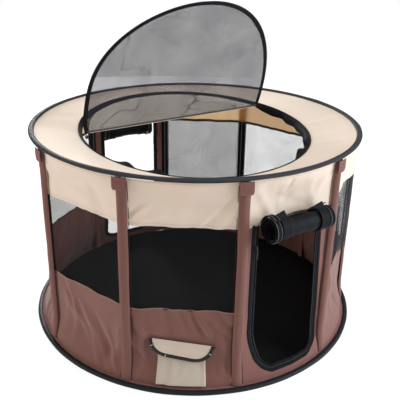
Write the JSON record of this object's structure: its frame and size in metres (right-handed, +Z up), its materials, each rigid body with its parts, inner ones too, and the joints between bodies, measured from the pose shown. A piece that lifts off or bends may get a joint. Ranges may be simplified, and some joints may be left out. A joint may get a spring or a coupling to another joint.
{
  "type": "pet playpen",
  "caption": "Round fabric pet playpen on sprung hoops and upright rods, with mesh windows, roll-up mesh doors, a zip-off mesh lid folded up and a flapped pocket.",
  "frame": {"origin": "centre of the floor's underside", "axes": "+Z up; -Y through the front door; +Y through the rear door; +X to the right of somebody facing the front door from outside"},
  "size_m": [0.9648, 1.0058, 0.9092],
  "materials": {
    "beige_cloth": "plain-woven polyester, matte",
    "brown_cloth": "plain-woven polyester, matte",
    "black_mesh": "fine knitted mesh",
    "black_binding": "ribbed woven tape",
    "charcoal_binding": "ribbed woven tape",
    "floor_cloth": "coated woven polyester",
    "spring_steel": "oiled spring wire",
    "rod_steel": "zinc-plated",
    "zip_metal": "black-lacquered zinc"
  },
  "bodies": {
    "enclosure": {"base_hoop": "spring_steel", "base_binding": "black_binding", "floor_sheet": "floor_cloth", "top_hoop": "spring_steel", "top_binding": "charcoal_binding", "top_panel": "beige_cloth", "opening_zip_tape": "black_binding", "lid_fixed_panel": "beige_cloth", "upper_band": "beige_cloth", "mesh_band_left": "black_mesh", "mesh_band_right": "black_mesh", "lower_band_left": "brown_cloth", "lower_band_right": "brown_cloth", "front_door_surround": "brown_cloth", "front_door_zip_tape": "black_binding", "front_door_roll": "black_mesh", "front_roll_tie_left": "black_binding", "front_roll_tie_right": "black_binding", "rear_door_surround": "brown_cloth", "rear_door_zip_tape": "black_binding", "rear_door_roll": "black_mesh", "rear_roll_tie_left": "black_binding", "rear_roll_tie_right": "black_binding", "pocket_body": "beige_cloth", "rod_1": "rod_steel", "sleeve_1": "brown_cloth", "rod_2": "rod_steel", "sleeve_2": "brown_cloth", "rod_3": "rod_steel", "sleeve_3": "brown_cloth", "rod_4": "rod_steel", "sleeve_4": "brown_cloth", "rod_5": "rod_steel", "sleeve_5": "brown_cloth", "rod_6": "rod_steel", "sleeve_6": "brown_cloth", "rod_7": "rod_steel", "sleeve_7": "brown_cloth", "rod_8": "rod_steel", "sleeve_8": "brown_cloth", "rod_9": "rod_steel", "sleeve_9": "brown_cloth", "rod_10": "rod_steel", "sleeve_10": "brown_cloth"},
    "lid": {"lid_panel": "black_mesh"},
    "lid_zip_slider": {"lid_slider": "zip_metal"},
    "lid_zip_pull": {"lid_pull": "zip_metal"},
    "front_zip_slider": {"front_door_slider": "zip_metal"},
    "rear_zip_slider": {"rear_door_slider": "zip_metal"},
    "pocket_cover": {"pocket_flap": "beige_cloth"},
    "tab_1": {"sleeve_tab_1": "brown_cloth"},
    "tab_2": {"sleeve_tab_2": "brown_cloth"},
    "tab_3": {"sleeve_tab_3": "brown_cloth"},
    "tab_4": {"sleeve_tab_4": "brown_cloth"},
    "tab_5": {"sleeve_tab_5": "brown_cloth"},
    "tab_6": {"sleeve_tab_6": "brown_cloth"},
    "tab_7": {"sleeve_tab_7": "brown_cloth"},
    "tab_8": {"sleeve_tab_8": "brown_cloth"},
    "tab_9": {"sleeve_tab_9": "brown_cloth"},
    "tab_10": {"sleeve_tab_10": "brown_cloth"}
  },
  "joints": [
    {"name": "lid_fold", "type": "hinge", "parent": "enclosure", "child": "lid", "pos_m": [0, 0.09121, 0.55844], "axis": [-1, 0, 0], "range_deg": [-67, 82]},
    {"name": "lid_zip_travel", "type": "hinge", "parent": "enclosure", "child": "lid_zip_slider", "pos_m": [0, 0, 0.551], "axis": [0, -0.0638, 0.998], "range_deg": [0, 202]},
    {"name": "lid_pull_swing", "type": "hinge", "parent": "lid_zip_slider", "child": "lid_zip_pull", "pos_m": [-0.30796, 0.0633, 0.56307], "axis": [-0.9816, 0.1904, 0.0122], "range_deg": [0, 165]},
    {"name": "front_door_zip_travel", "type": "slide", "parent": "enclosure", "child": "front_zip_slider", "axis": [0, 0, -1], "range_m": [0, 0.22]},
    {"name": "rear_door_zip_travel", "type": "slide", "parent": "enclosure", "child": "rear_zip_slider", "axis": [0, 0, -1], "range_m": [0, 0.22]},
    {"name": "tab_1_lift", "type": "hinge", "parent": "enclosure", "child": "tab_1", "pos_m": [0.14375, -0.44243, 0.5695], "axis": [-0.9511, -0.309, 0], "range_deg": [0, 150]},
    {"name": "tab_2_lift", "type": "hinge", "parent": "enclosure", "child": "tab_2", "pos_m": [0.37635, -0.27344, 0.5695], "axis": [-0.5878, -0.809, 0], "range_deg": [0, 150]},
    {"name": "tab_3_lift", "type": "hinge", "parent": "enclosure", "child": "tab_3", "pos_m": [0.4652, 0, 0.5695], "axis": [0, -1, 0], "range_deg": [0, 150]},
    {"name": "tab_4_lift", "type": "hinge", "parent": "enclosure", "child": "tab_4", "pos_m": [0.37635, 0.27344, 0.5695], "axis": [0.5878, -0.809, 0], "range_deg": [0, 150]},
    {"name": "tab_5_lift", "type": "hinge", "parent": "enclosure", "child": "tab_5", "pos_m": [0.14375, 0.44243, 0.5695], "axis": [0.9511, -0.309, 0], "range_deg": [0, 150]},
    {"name": "tab_6_lift", "type": "hinge", "parent": "enclosure", "child": "tab_6", "pos_m": [-0.14375, 0.44243, 0.5695], "axis": [0.9511, 0.309, 0], "range_deg": [0, 150]},
    {"name": "tab_7_lift", "type": "hinge", "parent": "enclosure", "child": "tab_7", "pos_m": [-0.37635, 0.27344, 0.5695], "axis": [0.5878, 0.809, 0], "range_deg": [0, 150]},
    {"name": "tab_8_lift", "type": "hinge", "parent": "enclosure", "child": "tab_8", "pos_m": [-0.4652, 0, 0.5695], "axis": [0, 1, 0], "range_deg": [0, 150]},
    {"name": "tab_9_lift", "type": "hinge", "parent": "enclosure", "child": "tab_9", "pos_m": [-0.37635, -0.27344, 0.5695], "axis": [-0.5878, 0.809, 0], "range_deg": [0, 150]},
    {"name": "tab_10_lift", "type": "hinge", "parent": "enclosure", "child": "tab_10", "pos_m": [-0.14375, -0.44243, 0.5695], "axis": [-0.9511, 0.309, 0], "range_deg": [0, 150]},
    {"name": "pocket_flap_lift", "type": "hinge", "parent": "enclosure", "child": "pocket_cover", "pos_m": [-0.25378, -0.3493, 0.13], "axis": [-0.8046, 0.5846, 0.1045], "range_deg": [0, 110]}
  ]
}
